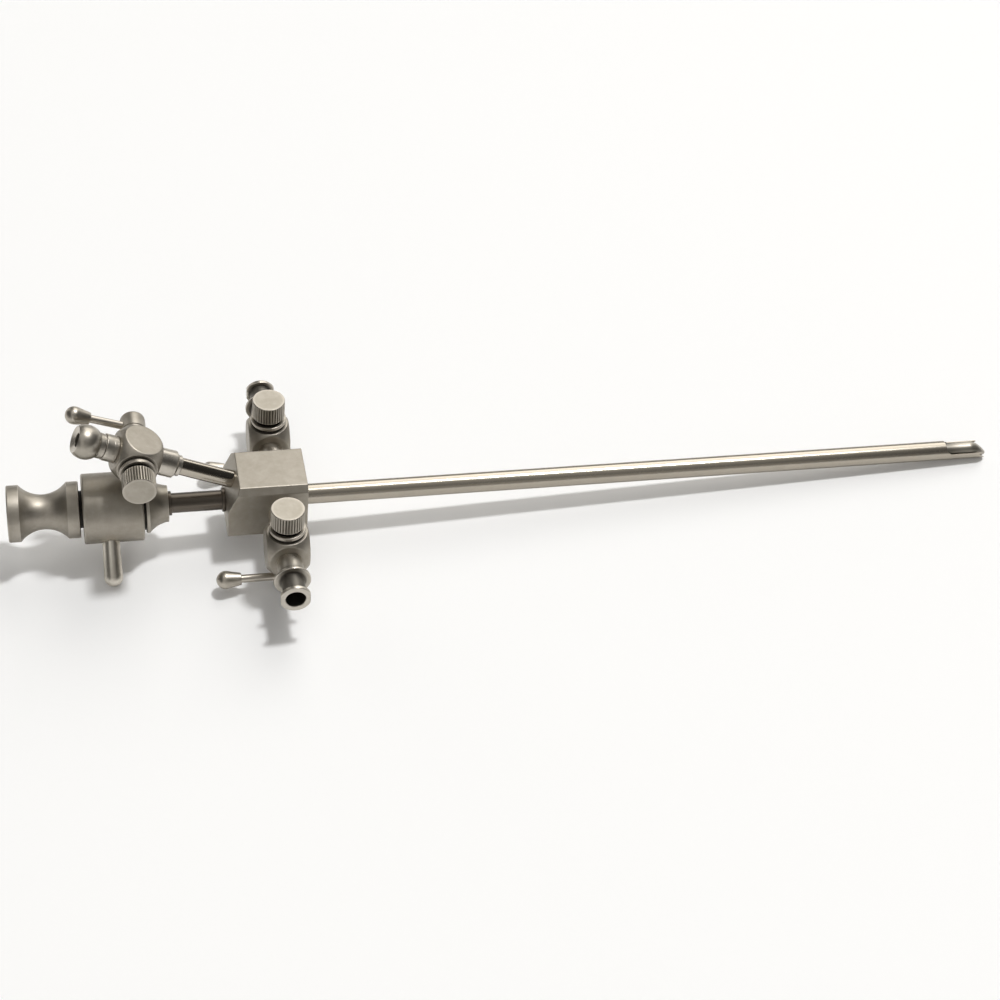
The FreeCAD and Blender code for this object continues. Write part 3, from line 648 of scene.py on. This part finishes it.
pin_way = np.array([0, -math.cos(PIN_ANGLE), -math.sin(PIN_ANGLE)])
pin_seat_frame = Seat((PIN_X, 0, 0), pin_way, (1, 0, 0), np.cross(pin_way, (1, 0, 0)))
DOME_START, DOME_R = 22.45, 2.95
dome = arc((DOME_START, DOME_R), (DOME_START + 2.086, 2.086), (DOME_START + DOME_R, 0.0), 14)
pin_outline = [(6.35, 0), (6.35, 1.5), (10.2, 1.5), (10.2, 2.75), (DOME_START, DOME_R)] + dome
pin_outline += [(DOME_START + DOME_R, 0)]
# Painted light: the pin's steel is a lighter copy of the others.
pin = lathe("lever_pin", pin_outline, pin_seat_frame, PAINTED_LIGHT_STEEL, 72)
belong(pin, "lock_ring", "polished_steel", "lock_pin")

# %% [markdown]
# ## The stopcocks
# All three stopcocks are alike. A barrel-shaped body has four flats where the tubes and the free faces are,
# a knurled cap screws on the plug's thread above, and the plug's boss comes out below with the lever in it.
# The flats cut the barrel in ovals, so the body's radius is the smaller of the barrel's and that of a
# square. The columns follow the edge of each oval: the angle where both radii agree is known for every
# height, and that keeps the rim crisp.

# %% Stopcock body
BARREL_R, BARREL_END_R, FLAT, TOP, BOTTOM = 9.1, 6.3, 6.8, 7.2, -7.0


def oval_columns(a, r):
    """Columns for each height: ten from the middle of a flat to its oval edge and ten on to the corner, eight
    times round."""
    half = np.where(r > FLAT, np.arccos(np.clip(FLAT / np.maximum(r, FLAT), 0, 1)), 0)
    half = np.maximum(half, 0.10)
    flat = 1 - (1 - np.arange(10) / 10) ** 1.6
    corner = (np.arange(10) / 10) ** 1.5
    first = np.concatenate([half * flat[None, :], half + (math.pi / 4 - half) * corner[None, :]], axis=1)
    second = math.pi / 2 - first[:, ::-1]
    second = np.concatenate([np.full_like(a, math.pi / 4), second[:, :-1]], axis=1)
    quarter = np.concatenate([first, second], axis=1)
    return np.concatenate([quarter + k * math.pi / 2 for k in range(4)], axis=1)


def flats(a, t, r):
    """Smooth minimum of the barrel's radius and the square's, rounded over soft millimetres."""
    square = FLAT / np.maximum(np.abs(np.cos(t)), np.abs(np.sin(t)))
    soft = 0.22
    near = np.maximum(soft - np.abs(r - square), 0) / soft
    return np.where(r > 6.0, np.minimum(r, square) - near ** 2 * soft / 4, r)


body_outline = [(-5.0, 4.1), (BOTTOM, 4.2, 0.1), (BOTTOM, BARREL_END_R, 0.2)]
body_outline += arc((BOTTOM, BARREL_END_R), (0, BARREL_R), (TOP, BARREL_END_R), 60)
body_outline += [(TOP, BARREL_END_R, 0.2), (TOP, 5.2), (8.2, 5.2), (8.2, 5.8, 0.2), (9.4, 5.8, 0.25),
                 (9.4, 4.6, 0.1), (8.0, 4.6), (8.0, 3.5), (5.0, 3.64)]

# %% [markdown]
# The cap's knurl is straight: 36 flat-topped teeth with a V between them. The radius drops by the depth of
# the V for part of each pitch, and the drop fades out in a small chamfer at either end.

# %% Cap, boss, lever and knob
CAP_R, CAP_START, CAP_END, TEETH, TOOTH = 5.3, 10.4, 17.0, 36, 0.42


def knurl_columns(a, r):
    """Eleven columns for each tooth, placed at the corners of its outline."""
    part = np.array([0.02, 0.12, 0.225, 0.33, 0.43, 0.50, 0.60, 0.69, 0.75, 0.85, 0.95])
    t = (np.arange(TEETH)[:, None] + part[None, :]).ravel() * 2 * math.pi / TEETH
    return t[None, :] + 0 * a


def knurl(a, t, r):
    """V grooves between flat-topped teeth, fading out at both ends of the cap."""
    part = (t * TEETH / (2 * math.pi)) % 1
    depth = np.clip(1.15 - np.abs(part - 0.72) / 0.25, 0, 1)
    fade = np.clip((a - CAP_START - 0.15) / 0.3, 0, 1) * np.clip((CAP_END - 0.16 - a) / 0.12, 0, 1)
    return np.where(r > 4.5, r - TOOTH * depth * fade, r)


def knurl_groove_shade(a, t, r):
    """Painted shade in the V grooves, and a little shine from wear on the teeth."""
    part = (t * TEETH / (2 * math.pi)) % 1
    depth = np.clip(1.1 - np.abs(part - 0.72) / 0.27, 0, 1)
    return np.where((r > 4.5) & (a < CAP_END - 0.1) & (a > CAP_START + 0.1), 1.7 * depth - 0.35, 0)


cap_outline = [(CAP_START, 2.0), (CAP_START, 4.98, 0.15), (CAP_START + 0.4, CAP_R, 0.15)]
cap_outline += [(CAP_START + 0.6 + x, CAP_R) for x in np.linspace(0, 5.6, 12)]
cap_outline += [(CAP_END - 0.28, CAP_R), (CAP_END - 0.16, CAP_R, 0.04), (CAP_END, CAP_R - 0.2, 0.08),
                (CAP_END, 3.5), (CAP_END, 0)]
boss_outline = [(-17.0, 0), (-17.0, 4.0, 1.3), (-10.75, 4.0, 0.05), (-10.5, 3.7), (-10.25, 4.0, 0.05),
                (-7.0, 4.0), (-6.9, 4.13), (7.95, 3.45), (7.95, 2.0), (15.0, 2.0), (15.0, 0)]
ARM_R = 1.28
KNOB_START, KNOB_START_R, KNOB_X, KNOB_R = 14.3, 1.95, 19.3, 2.9
lever_outline = [(1.0, 0), (1.0, ARM_R), (KNOB_START + 3, ARM_R), (KNOB_START + 3, 0)]
KNOB_TANGENT = math.atan((KNOB_R - KNOB_START_R) / (KNOB_X - KNOB_START))
ball_start = (KNOB_X - KNOB_R * math.sin(KNOB_TANGENT), KNOB_R * math.cos(KNOB_TANGENT))
ball_middle = (KNOB_X + KNOB_R * math.sqrt(0.5), KNOB_R * math.sqrt(0.5))
ball_end = (KNOB_X + KNOB_R, 0)
knob_outline = [(KNOB_START, ARM_R), (KNOB_START, KNOB_START_R, 0.25), ball_start]
knob_outline += arc(ball_start, ball_middle, ball_end, 20) + [ball_end]


def stopcock(side, body_seat, plug_seat):
    """One body and the four skins that turn with its plug."""
    turning = side + "_stopcock"
    body = lathe(side + "_barrel", body_outline, body_seat.upright(), BLASTED, closed=True, shape=flats,
                 angles=oval_columns)
    belong(body, "sheath", "satin_steel", side + "_cock_body")
    cap = lathe(side + "_knurled_cap", cap_outline, plug_seat.upright(), KNURL, shape=knurl,
                angles=knurl_columns, painted_shade=knurl_groove_shade)
    belong(cap, turning, "knurled_steel", side + "_cap")
    boss = lathe(side + "_boss", boss_outline, plug_seat.upright(), BLASTED, 96)
    belong(boss, turning, "satin_steel", side + "_plug")
    arm = plug_seat.lever(LEVER_HEIGHT)
    lever_rod = lathe(side + "_lever_rod", lever_outline, arm, LEVER, 48)
    belong(lever_rod, turning, "polished_steel", side + "_lever")
    lever_knob = lathe(side + "_lever_knob", knob_outline, arm, LEVER, 64)
    belong(lever_knob, turning, "polished_steel", side + "_knob")


COCK_X, COCK_Y, COCK_Z = -8.7, 25.8, 2.0
LEVER_HEIGHT = -12.7
CHANNEL_TILT, CHANNEL_LEVER = 23.7, 20.5        # degrees: the lever stands a little short of the flow line
TILT = math.radians(CHANNEL_TILT)
UP_CHANNEL = np.array([-math.cos(TILT), 0, math.sin(TILT)])
ACROSS = np.array([math.sin(TILT), 0, math.cos(TILT)])
TOWARDS = np.array([0, -1.0, 0])
CENTRE = np.array([-53.5, 0, 22.05])
for side, sign in (("front", -1), ("rear", 1)):
    seat = Seat((COCK_X, sign * COCK_Y, COCK_Z), (1, 0, 0), (0, 1, 0), (0, 0, 1))
    stopcock(side, seat, seat)
channel_seat = Seat(CENTRE, ACROSS, UP_CHANNEL, TOWARDS)
stopcock("channel", channel_seat, channel_seat.spun(-90 + CHANNEL_TILT - CHANNEL_LEVER))
print("stopcock skins:", made[-15:])

# %% [markdown]
# ## Side ports
# Water goes in and out through the side ports. From the block outwards: a short stub, the stopcock, a neck
# with a thin round collar, and a flanged mouth with two flats for the hose's bayonet. The flats are again a
# smaller radius, this time with one pair.

# %% Stubs and ports
PORT_FLANGE_R, FLANGE_HALF = 5.0, 4.6


def two_flats(a, t, r):
    """On the flange the radius is at most that of two parallel planes."""
    plane = FLANGE_HALF / np.maximum(np.abs(np.cos(t)), 1e-6)
    return np.where((a > 47.35) & (r > 4.2), np.minimum(r, plane), r)


def flat_columns(a, r):
    """Columns with one exactly at each edge of the two flats."""
    half = math.acos(FLANGE_HALF / PORT_FLANGE_R)
    side = np.concatenate([np.linspace(-half, half, 13)[:-1], np.linspace(half, math.pi - half, 37)[:-1]])
    return np.concatenate([side, side + math.pi])[None, :] + 0 * a


def bore_shade(a, t, r):
    """Painted shade inside a bore, which gets little light."""
    return np.where(r < 3.2, 1.5, 0.0)


def port_outline(longer):
    """Neck, thin collar, tail and flange with its deep mouth. Only the neck differs in length."""
    neck = [(30.6, 1.5), (30.6, 2.6), (32.6, 2.6), (32.6, 4.1)]
    rest = [(39.8, 4.1), (39.8, 5.8, 0.25), (40.8, 5.8, 0.25), (40.8, 3.65), (47.4, 3.65, 0.1),
            (47.4, PORT_FLANGE_R, 0.2), (48.7, PORT_FLANGE_R, 0.25), (48.7, 3.3, 0.1), (48.45, 3.1),
            (40.45, 3.1), (40.45, 1.5)]
    return neck + [(p[0] + longer, *p[1:]) for p in rest]


stub_outline = [(7.5, 1.5), (7.5, 2.6), (10.5, 2.6), (10.5, 4.1), (19.0, 4.1), (19.0, 2.6),
                (21.0, 2.6), (21.0, 1.5)]
for side, sign, longer in (("front", -1, 0.0), ("rear", 1, 1.2)):
    seat = Seat((COCK_X, 0, COCK_Z), (0, sign, 0), (-sign, 0, 0), (0, 0, 1))
    port = lathe(side + "_flanged_port", port_outline(longer), seat, TURNED, closed=True, shape=two_flats,
                 angles=flat_columns, painted_shade=bore_shade)
    belong(port, "sheath", "satin_steel", side + "_port")
    stub = lathe(side + "_stub_tube", stub_outline, seat, TURNED, 96, closed=True)
    belong(stub, "sheath", "satin_steel", side + "_stub")

# %% [markdown]
# ## Working channel
# The channel leaves the slanted face of the block as a thin polished tube. It passes a seat ring and a
# chamfered sleeve into its stopcock, and ends behind a grooved coupling in a ball with a countersunk mouth.

# %% Channel pieces
slant = np.array([BLOCK_TOP_END - BLOCK_END, 0, BLOCK_TOP - SLANT_Z])
normal = np.array([-slant[2], 0, slant[0]]) / np.linalg.norm(slant)
REACH = (np.array([BLOCK_END, 0, SLANT_Z]) - CENTRE) @ normal / (UP_CHANNEL @ normal)
line = Seat(CENTRE, UP_CHANNEL, TOWARDS, np.cross(UP_CHANNEL, TOWARDS))
BALL_U, BALL_R, FACE_U = 16.7, 5.5, 20.2
SOCKET, BORE, PIPE_R, COLLAR_R = 2.6, 1.5, 2.85, 4.05        # radii where the pieces fit together
BALL_START = BALL_U - math.sqrt(BALL_R ** 2 - COLLAR_R ** 2)
BALL_RIM = math.sqrt(BALL_R ** 2 - (FACE_U - BALL_U) ** 2)


def mouth_shade(a, t, r):
    """Painted shade in the countersunk mouth of the ball."""
    return np.where(r < 2.25, 1.3, 0.0)


pipe_outline = [(REACH - 5, BORE), (REACH - 5, PIPE_R), (-13.7, PIPE_R), (-13.7, BORE)]
seat_outline = [(-14.7, PIPE_R), (-14.7, 3.4, 0.25), (-13.2, 3.4), (-13.2, PIPE_R)]
sleeve_outline = [(-13.7, BORE), (-13.7, PIPE_R), (-13.2, PIPE_R), (-13.2, 3.8, 0.1), (-12.6, 4.4, 0.15),
                  (-6.8, 4.4, 0.1), (-6.8, SOCKET), (-4.8, SOCKET), (-4.8, BORE)]
coupling_outline = [(4.8, BORE), (4.8, SOCKET), (6.8, SOCKET), (6.8, 4.3, 0.25), (8.4, 4.3), (8.5, 4.24),
                    (8.6, 4.3), (10.9, 4.3, 0.2), (10.9, 3.85), (11.3, 3.85), (11.3, SOCKET), (12.5, SOCKET),
                    (12.5, BORE)]
ball_outline = [(11.3, SOCKET), (11.3, COLLAR_R, 0.2), (BALL_START, COLLAR_R)]
ball_outline += arc((BALL_START, COLLAR_R), (BALL_U, BALL_R), (FACE_U, BALL_RIM), 40)
ball_outline += [(FACE_U, BALL_RIM, 0.15), (19.4, 2.2, 0.1), (12.9, 2.2), (12.9, BORE), (12.5, BORE),
                 (12.5, SOCKET)]
channel_pieces = (("channel_pipe", pipe_outline, POLISHED, "polished_steel", "channel_tube", None),
                  ("channel_seat", seat_outline, TURNED, "satin_steel", "channel_seat_ring", None),
                  ("chamfered_sleeve", sleeve_outline, TURNED, "satin_steel", "channel_sleeve", None),
                  ("grooved_coupling", coupling_outline, TURNED, "satin_steel", "channel_coupling", None),
                  ("ball_port", ball_outline, TURNED, "satin_steel", "channel_port", mouth_shade))
for name, outline_points, finish, slot, node_name, painted_shade in channel_pieces:
    piece = lathe(name, outline_points, line, finish, 112, closed=True, painted_shade=painted_shade)
    belong(piece, "sheath", slot, node_name)
print("channel mouth at", round(float(REACH), 2), "mm along the channel")

# %% [markdown]
# ## Pieces that stay as CAD
# The lock's core, its seal and retainer and the spring washers are hidden or show as a thin line. Their CAD
# shapes are right, so they only get their finish. The steel ones get painted shade: an almost black steel.

# %% Finishes of the carried-over pieces
KEPT = {"lock_core": GAP_SHADE_STEEL, "lock_retainer": GAP_SHADE_STEEL, "lock_seal": RUBBER,
        "front_washer": GAP_SHADE_STEEL, "rear_washer": GAP_SHADE_STEEL, "channel_washer": GAP_SHADE_STEEL}
for node_name, finish in KEPT.items():
    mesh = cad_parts[node_name].data
    mesh.materials.clear()
    mesh.materials.append(finish)
print("kept CAD pieces:", len(KEPT))

# %% [markdown]
# ## Floor
# The instrument lies on a pale table. It touches with three points: the tip of the lever pin, the end of
# the long tube and the boss of the rear stopcock. The floor is the plane through them. The floor's own
# colour is near white, and a little emission that only the camera and reflections see lifts it to white
# where no shadow falls.

# %% Floor through the three contact points
CONTACTS = np.array([(-62.7, -16.94, -17.68), (237.0, 0.0, -3.35), (-8.7, 25.8, -15.0)])
floor_up = np.cross(CONTACTS[1] - CONTACTS[0], CONTACTS[2] - CONTACTS[0])
floor_up = floor_up / np.linalg.norm(floor_up) * np.sign(floor_up[2])
floor_x = np.cross([0, 1, 0], floor_up)
floor_x = floor_x / np.linalg.norm(floor_x)
floor_y = np.cross(floor_up, floor_x)
FLOOR_HALF, FLOOR_GAP = 4000, 0.05       # mm
middle = np.array([70.0, 0, 0])
middle = middle - floor_up * ((middle - CONTACTS[0]) @ floor_up + FLOOR_GAP)
corners = [(middle + sx * FLOOR_HALF * floor_x + sy * FLOOR_HALF * floor_y) * MM
           for sx, sy in ((-1, -1), (1, -1), (1, 1), (-1, 1))]
mesh = bpy.data.meshes.new("floor")
mesh.from_pydata([tuple(c) for c in corners], [], [(0, 1, 2, 3)])
floor = bpy.data.objects.new("floor", mesh)
bpy.context.scene.collection.objects.link(floor)

pale = bpy.data.materials.new("pale_table")
pale.use_nodes = True
tree = pale.node_tree
tree.nodes.clear()
path = tree.nodes.new("ShaderNodeLightPath")
seen = Wire(tree, path.outputs["Is Camera Ray"])
for ray in ("Is Glossy Ray", "Is Transmission Ray"):
    seen = seen.top(Wire(tree, path.outputs[ray]))
cloth = node(tree, "ShaderNodeBsdfDiffuse", {}, {"Color": (0.93, 0.93, 0.93, 1)})
lift = node(tree, "ShaderNodeEmission", {}, {"Color": (1, 1, 1, 1), "Strength": seen * 0.07})
both = node(tree, "ShaderNodeAddShader", {}, {0: cloth, 1: lift})
node(tree, "ShaderNodeOutputMaterial", {}, {"Surface": both})
mesh.materials.append(pale)
print("floor normal:", np.round(floor_up, 4))

# %% [markdown]
# ## Light
# The photograph has one compact lamp nearly overhead, a little to the right, which draws the crisp back
# edge of each shadow. The rest of the light is painted into the sky. A long bright panel runs from overhead
# towards the back: the tube mirrors it as its white stripe. A dimmer panel to the left lights the handle's
# waist and the lever pin, and two patches low behind light the channel and the necks of the ports. The room
# is dim, and the long panel is darkest in front, where the photographer stands. That gives the dark line
# along the middle of the tube.

# %% Lamp and sky
AIM = np.array([0.05, 0, 0])        # m, on the tube and near the middle of the instrument


def round_lamp(name, towards, distance, size, radiance):
    """Disc of light that looks at AIM. Its radiance 1 is as bright as a sky of strength 1."""
    way = np.array(towards, float) / np.linalg.norm(towards)
    data = bpy.data.lights.new(name, "AREA")
    data.shape = "DISK"
    data.size = data.size_y = size
    data.energy = radiance * math.pi * size * size * (math.pi / 4)
    lamp_object = bpy.data.objects.new(name, data)
    bpy.context.scene.collection.objects.link(lamp_object)
    side = np.cross([0, 1, 0], way)
    side = side / np.linalg.norm(side)
    axes = np.stack([side, np.cross(way, side), way], 1)
    place = AIM + way * distance
    lamp_object.matrix_world = Matrix([[*row, p] for row, p in zip(axes, place)] + [[0, 0, 0, 1]])


round_lamp("ceiling_lamp", (0.25, 0.10, 0.96), 5.0, 0.60, 144.5)

world = bpy.data.worlds.new("room")
bpy.context.scene.world = world
world.use_nodes = True
tree = world.node_tree
tree.nodes.clear()
sky = node(tree, "ShaderNodeTexCoord", {}, {}, output="Generated")
split = node(tree, "ShaderNodeSeparateXYZ", {}, {"Vector": sky})
wx, wy, wz = (Wire(tree, split.socket.node.outputs[axis]) for axis in "XYZ")
behind = wy * (wy * wy + wz * wz).power(-0.5)       # -1 is the horizon in front, 0 overhead, 1 the one behind


def distance(wire, place):
    """How far a wire's value is from a fixed place."""
    gap = wire - place
    return (gap * gap).power(0.5)


# The long panel's brightness at each value of behind.
PROFILE = ((-1.0, 0.50), (-0.97, 0.45), (-0.83, 0.28), (-0.57, 0.40), (-0.35, 0.50), (-0.14, 0.70),
           (0.0, 0.85), (0.25, 1.0), (0.42, 2.2), (0.82, 2.9), (0.92, 0.4), (1.0, 0.3))
FULL = 4.0      # brightness that a ramp colour of 1 stands for
ramp = tree.nodes.new("ShaderNodeValToRGB")
stops = ramp.color_ramp.elements
for place, _ in PROFILE[1:-1]:
    stops.new((place + 1) / 2)
for stop, (place, brightness) in zip(stops, PROFILE):
    stop.position = (place + 1) / 2
    stop.color = [brightness / FULL] * 3 + [1]
tree.links.new((behind * 0.5 + 0.5).socket, ramp.inputs["Fac"])
panel = Wire(tree, ramp.outputs["Color"]) * FULL
panel_place = wx.step(-0.04, 0.08) * (1.0 - (wx - behind.step(0.1, 0.5) * 0.18).step(0.34, 0.44))
left_panel = (1.0 - distance(wx, -0.34).step(0.06, 0.22)) * (1.0 - behind.step(0.15, 0.45))
outward = distance(wx, 0.07)
patches = outward.step(0.40, 0.50) * (1.0 - outward.step(0.70, 0.80)) * behind.step(0.6, 0.8)
room = 0.03 + (1.0 - wz.step(0.0, 0.35)) * 0.14
level = room + (panel - room) * panel_place + left_panel + patches * 0.9
glow = node(tree, "ShaderNodeBackground", {}, {"Color": (1.0, 0.98, 0.94, 1), "Strength": level})
node(tree, "ShaderNodeOutputWorld", {}, {"Surface": glow})

# %% [markdown]
# ## Camera
# The camera's place was worked out from the photograph before modelling: the long tube, the block's corners
# and the stopcocks fix the position, the direction and the lens. It stands about half a metre away and
# looks down at 43 degrees.

# %% Camera
RIGHT = (0.97709, -0.19273, 0.09170)
DOWN = (-0.06897, -0.68807, -0.72241)
AHEAD = (0.20136, 0.69960, -0.68537)
EYE = (-0.07627, -0.49388, 0.47487)
lens = bpy.data.cameras.new("camera")
lens.lens = 75.754
lens.sensor_width = 36
lens.clip_start = 0.01
camera = bpy.data.objects.new("camera", lens)
bpy.context.scene.collection.objects.link(camera)
camera.matrix_world = Matrix([[RIGHT[i], -DOWN[i], -AHEAD[i], EYE[i]] for i in range(3)] + [[0, 0, 0, 1]])
bpy.context.scene.camera = camera
bpy.context.scene.view_settings.view_transform = "Standard"

# %% Number of pieces
print("pieces:", len(made) + 1)
